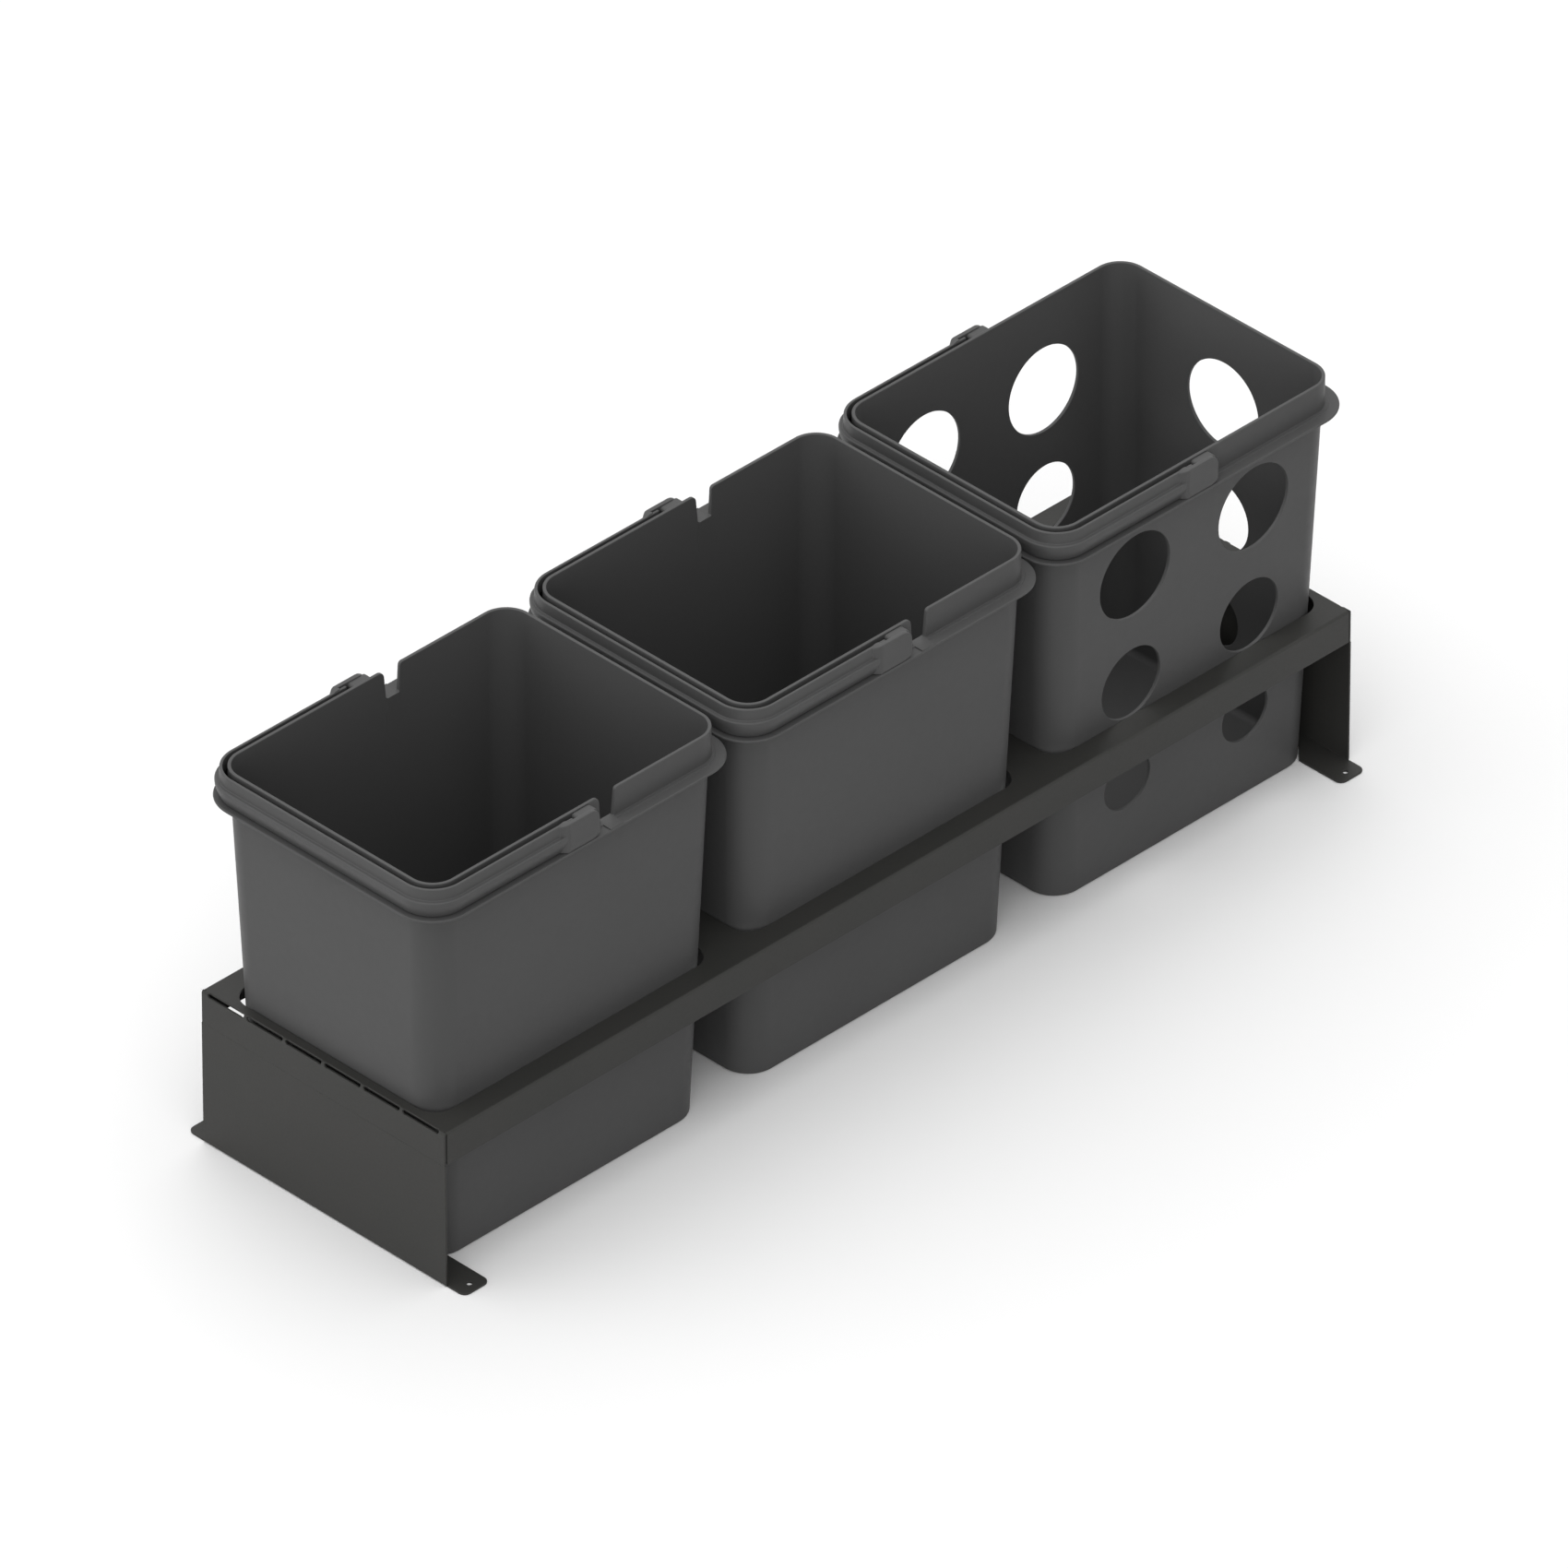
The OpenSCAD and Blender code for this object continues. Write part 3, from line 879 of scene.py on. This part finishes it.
def ramp(new, link, value, band, tones):
    """A colour that goes from the first tone to the second as a value crosses a band."""
    made = new("ShaderNodeValToRGB")
    for element, position, tone in zip(made.color_ramp.elements, band, tones):
        element.position = position
        element.color = (*tone, 1)
    link(value, made.inputs["Fac"])
    return made.outputs["Color"]


def spread(new, link, value, middle, reach):
    """A number that goes from reach below middle to reach above it, as the middle half of a noise does."""
    made = new("ShaderNodeMapRange")
    made.inputs["From Min"].default_value = NOISE_MIDDLE[0]
    made.inputs["From Max"].default_value = NOISE_MIDDLE[1]
    made.inputs["To Min"].default_value = middle - reach
    made.inputs["To Max"].default_value = middle + reach
    link(value, made.inputs["Value"])
    return made.outputs["Result"]


def bumped(new, link, height, depth, strength, before=None):
    """A normal bumped by a height of so many millimetres, on top of another normal."""
    made = new("ShaderNodeBump")
    made.inputs["Distance"].default_value = depth * MM
    made.inputs["Strength"].default_value = strength
    link(height, made.inputs["Height"])
    if before is not None:
        link(before, made.inputs["Normal"])
    return made.outputs["Normal"]


def moulded_plastic(name, tones, roughness, grain, depth):
    """Dull moulded plastic: slow changes of tone, a fine etched grain and a faint ripple of the walls."""
    material, shader, new, link = new_material(name)
    place = new("ShaderNodeTexCoord")
    slow = noise(new, link, place, TONE_SIZE, detail=2.0)
    etched = noise(new, link, place, grain, detail=2.0)
    fleck = noise(new, link, place, FLECK_SIZE, detail=5.0)
    link(ramp(new, link, slow, TONE_BAND, tones), shader.inputs["Base Color"])
    link(spread(new, link, fleck, roughness, FLECK_GLOSS), shader.inputs["Roughness"])
    ripple = bumped(new, link, slow, RIPPLE_HEIGHT, RIPPLE_STRENGTH)
    link(bumped(new, link, etched, depth, GRAIN_STRENGTH, ripple), shader.inputs["Normal"])
    shader.inputs["Specular IOR Level"].default_value = SHEEN_LEVEL
    return material


def powder_coat(name, tones, roughness):
    """Powder-coated sheet steel: its warm grey with slow, slightly redder patches painted in as a
    reflection, orange peel and a fine tooth.
    """
    material, shader, new, link = new_material(name)
    place = new("ShaderNodeTexCoord")
    # Slow patches that paint a faint reddish reflection into the steel's colour
    patches = noise(new, link, place, REFLECTION_PATCH_SIZE, detail=2.0)
    peel = noise(new, link, place, PEEL_SIZE, detail=1.5)
    tooth = noise(new, link, place, TOOTH_SIZE, detail=2.0)
    link(ramp(new, link, patches, REFLECTION_PATCH_BAND, tones), shader.inputs["Base Color"])
    link(spread(new, link, peel, roughness, PEEL_GLOSS), shader.inputs["Roughness"])
    relief = bumped(new, link, peel, PEEL_HEIGHT, COAT_STRENGTH)
    link(bumped(new, link, tooth, TOOTH_HEIGHT, COAT_STRENGTH, relief), shader.inputs["Normal"])
    shader.inputs["Specular IOR Level"].default_value = SHEEN_LEVEL
    return material


tub_plastic = moulded_plastic("tub_plastic", TUB_TONES, roughness=0.5, grain=0.7, depth=0.012)
handle_plastic = moulded_plastic("handle_plastic", HANDLE_TONES, roughness=0.45, grain=0.5, depth=0.008)
painted_steel = powder_coat("painted_steel", STEEL_TONES_WITH_REFLECTION_TINT, roughness=0.45)

# Pieces on their bodies

for side in SIDES:
    tub = make_perforated_tub() if side == "right" else make_notched_tub()
    tub.name = "tub_" + side + "_shell"
    tub.location.x = TUB_PLACES[side] * MM
    finish_piece(tub, "tub_" + side, "tub_" + side, tub_plastic)
    handle = make_handle()
    handle.name = "handle_" + side + "_bail"
    handle.location.x = TUB_PLACES[side] * MM
    finish_piece(handle, "handle_" + side, "handle_" + side, handle_plastic)

sheet_frame = make_frame()
finish_piece(sheet_frame, "frame", "frame", painted_steel)

# Camera and floor, in metres and degrees, but for the lens and its sensor in millimetres

CAMERA_PLACE = (-10.18558, -10.22257, 10.30756)
CAMERA_TURN = (54.823, 0.0, -44.901)
CAMERA_LENS = 603.4
CAMERA_SENSOR = 36
FLOOR_RADIUS = 30
FLOOR_DROP = 0.0002
FLOOR_STEPS = 96
FLOOR_BOUNCE = (0.32, 0.32, 0.32)

# Light from the sky: where each patch of it lies, how narrow it is, and how strong
SKY = (
    ((0, 0, 1), 4, 2.37),
    ((-1, -1, 0.2), 6, 2.12),
    ((-1, 1, 0.2), 6, 1.73),
    ((1, 1, 0.2), 6, 1.28),
)


def add_camera():
    """The camera at the photograph's viewing angle."""
    data = bpy.data.cameras.new("camera")
    data.lens = CAMERA_LENS
    data.sensor_width = CAMERA_SENSOR
    data.clip_end = 2 * FLOOR_RADIUS
    camera = bpy.data.objects.new("camera", data)
    camera.location = CAMERA_PLACE
    camera.rotation_euler = [math.radians(angle) for angle in CAMERA_TURN]
    bpy.context.scene.collection.objects.link(camera)
    bpy.context.scene.camera = camera


def maths(tree, operation, first, second):
    """The result of one sum, whose terms are sockets or numbers."""
    made = tree.nodes.new("ShaderNodeMath")
    made.operation = operation
    for socket, term in zip(made.inputs, (first, second)):
        if isinstance(term, (int, float)):
            socket.default_value = term
        else:
            tree.links.new(term, socket)
    return made.outputs[0]


def seen_directly(tree):
    """1 for rays that come from the camera, a mirror or a clear body, and 0 for the rest."""
    path = tree.nodes.new("ShaderNodeLightPath").outputs
    shiny = maths(tree, "MAXIMUM", path["Is Glossy Ray"], path["Is Transmission Ray"])
    return maths(tree, "MAXIMUM", path["Is Camera Ray"], shiny)


def add_floor():
    """A floor that is white to the eye and takes the object's shadow, but throws little light back up."""
    bm = bmesh.new()
    bmesh.ops.create_circle(bm, cap_ends=True, segments=FLOOR_STEPS, radius=FLOOR_RADIUS)
    mesh = bpy.data.meshes.new("floor")
    bm.to_mesh(mesh)
    bm.free()
    floor = bpy.data.objects.new("floor", mesh)
    floor.location.z = -FLOOR_DROP
    bpy.context.scene.collection.objects.link(floor)
    material, shader, new, link = new_material("floor")
    seen = seen_directly(material.node_tree)
    link(ramp(new, link, seen, (0, 1), (FLOOR_BOUNCE, WHITE)), shader.inputs["Base Color"])
    shader.inputs["Roughness"].default_value = 1
    shader.inputs["Specular IOR Level"].default_value = 0
    mesh.materials.append(material)


def add_world():
    """Soft light from above and low from three corners, round a white ground."""
    world = bpy.data.worlds.new("world")
    bpy.context.scene.world = world
    world.use_nodes = True
    tree = world.node_tree
    place = tree.nodes.new("ShaderNodeTexCoord")
    light = 0
    for direction, narrowness, strength in SKY:
        towards = tree.nodes.new("ShaderNodeVectorMath")
        towards.operation = "DOT_PRODUCT"
        towards.inputs[1].default_value = Vector(direction).normalized()
        tree.links.new(place.outputs["Generated"], towards.inputs[0])
        facing = maths(tree, "MAXIMUM", towards.outputs["Value"], 0)
        share = maths(tree, "MULTIPLY", maths(tree, "POWER", facing, narrowness), strength)
        light = maths(tree, "ADD", light, share)
    seen = seen_directly(tree)
    dark = maths(tree, "MULTIPLY", light, maths(tree, "SUBTRACT", 1, seen))
    background = tree.nodes["Background"]
    background.inputs["Color"].default_value = (*WHITE, 1)
    tree.links.new(maths(tree, "ADD", dark, seen), background.inputs["Strength"])


add_camera()
add_floor()
add_world()
bpy.context.scene.view_settings.view_transform = "Standard"
